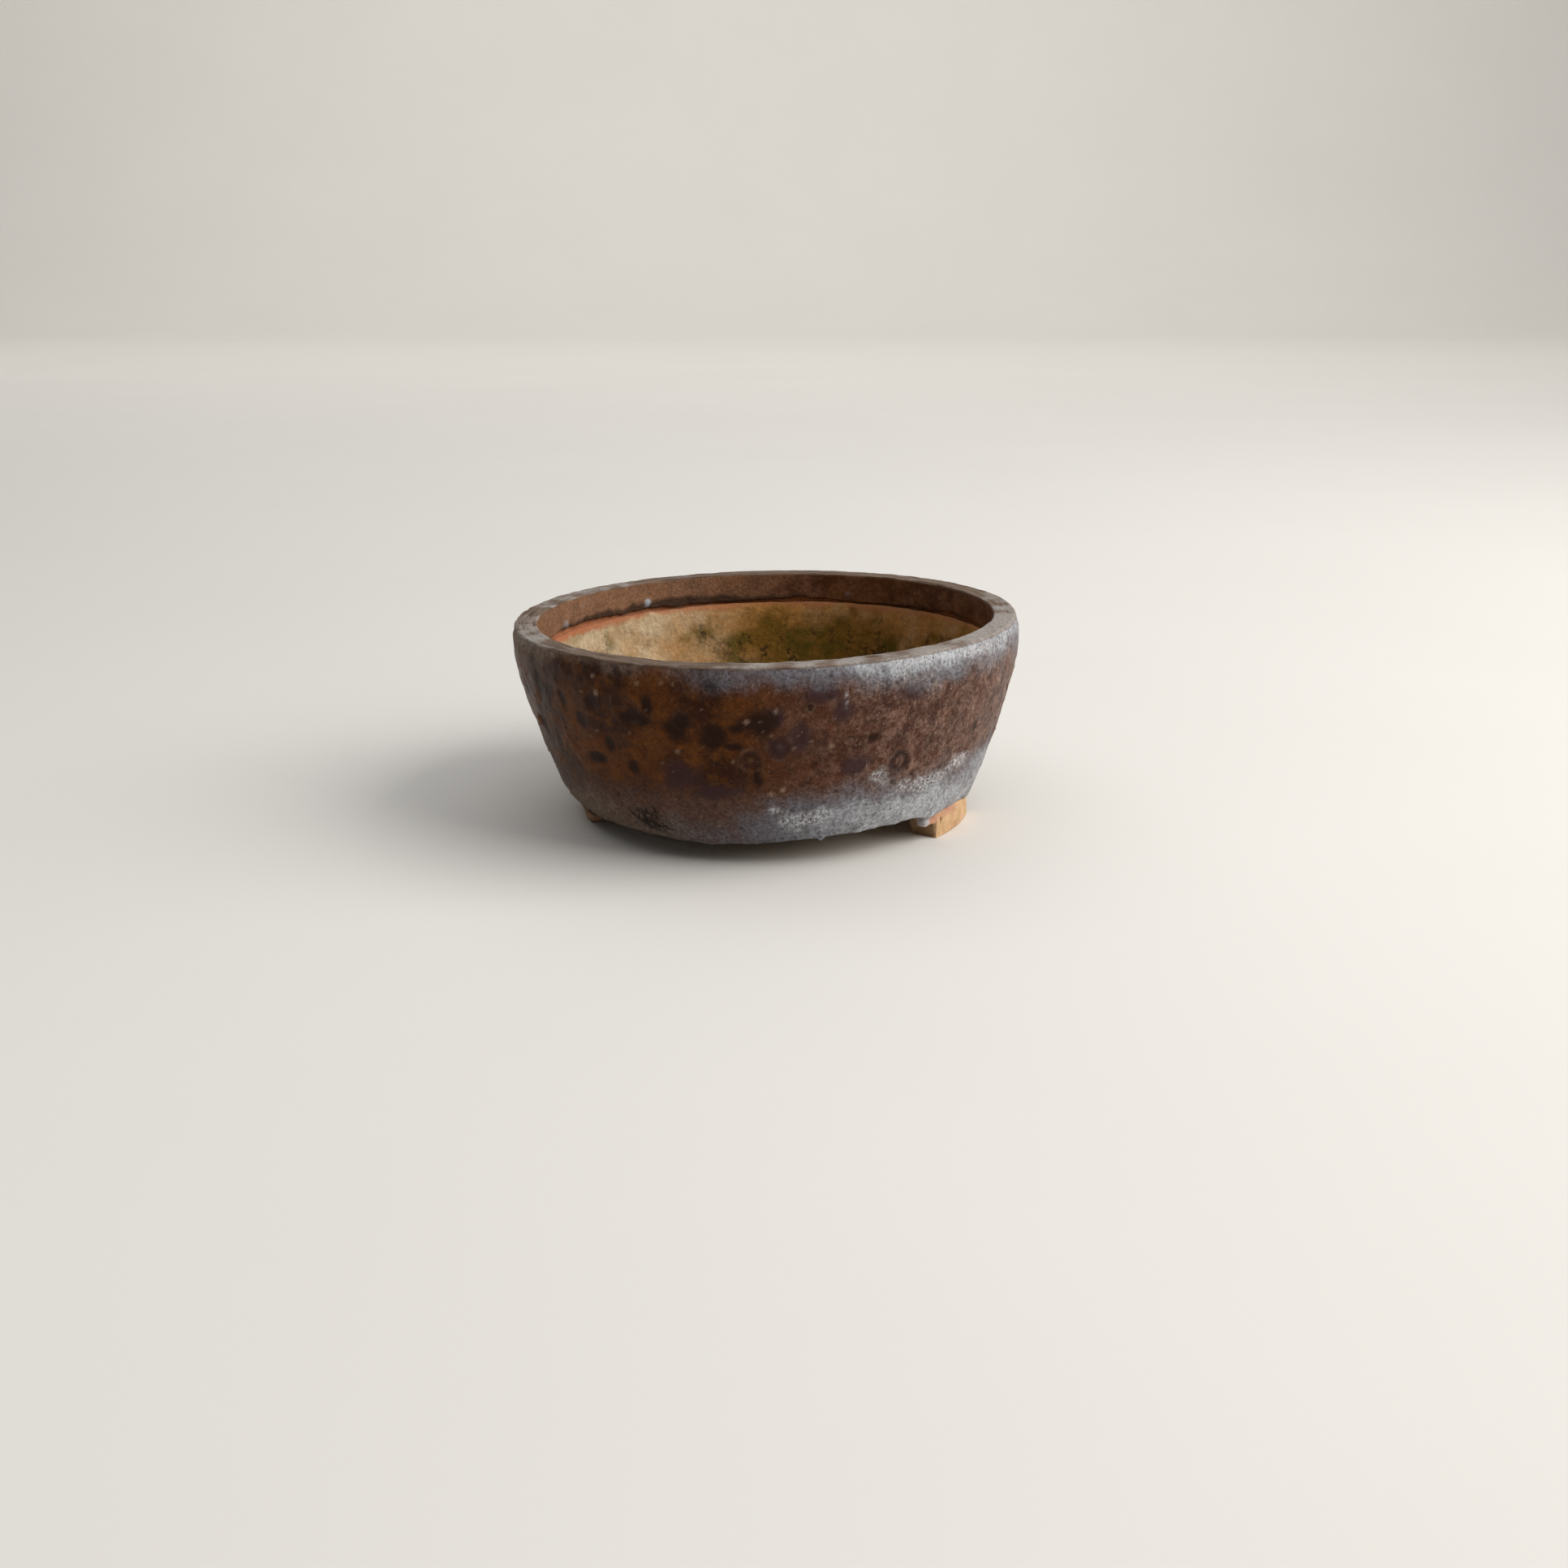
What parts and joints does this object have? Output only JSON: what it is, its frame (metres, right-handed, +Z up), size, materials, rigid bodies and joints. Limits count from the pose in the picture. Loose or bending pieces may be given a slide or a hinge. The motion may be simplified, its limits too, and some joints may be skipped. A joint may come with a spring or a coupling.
{
  "type": "bonsai pot",
  "caption": "Small round footed stoneware plant pot: flaring wall, flat-topped lip, floor with a central drain hole, short curved feet, and a pitted iron glaze that ends just inside the lip.",
  "frame": {"origin": "on the resting plane, under the middle of the pot's outer box", "axes": "+Z up, -Y to the pot's front, +X to the front's right; the pot's own axis leans 2.3 degrees to the left"},
  "size_m": [0.0772, 0.0772, 0.0313],
  "materials": {
    "body_clay": "bare fired stoneware, stained olive and green by soil and moss",
    "floor_clay": "bare fired stoneware, stained dark by soil",
    "foot_clay": "bare fired buff stoneware",
    "iron_glaze": "semi-matt amber to red-brown iron glaze with dark blotches, blisters and a pale grey bloom"
  },
  "bodies": {
    "root": {"wall": "body_clay", "base_slab": "floor_clay", "glaze_coat": "iron_glaze", "foot_right": "foot_clay", "foot_left": "foot_clay", "foot_back": "foot_clay"}
  },
  "joints": []
}
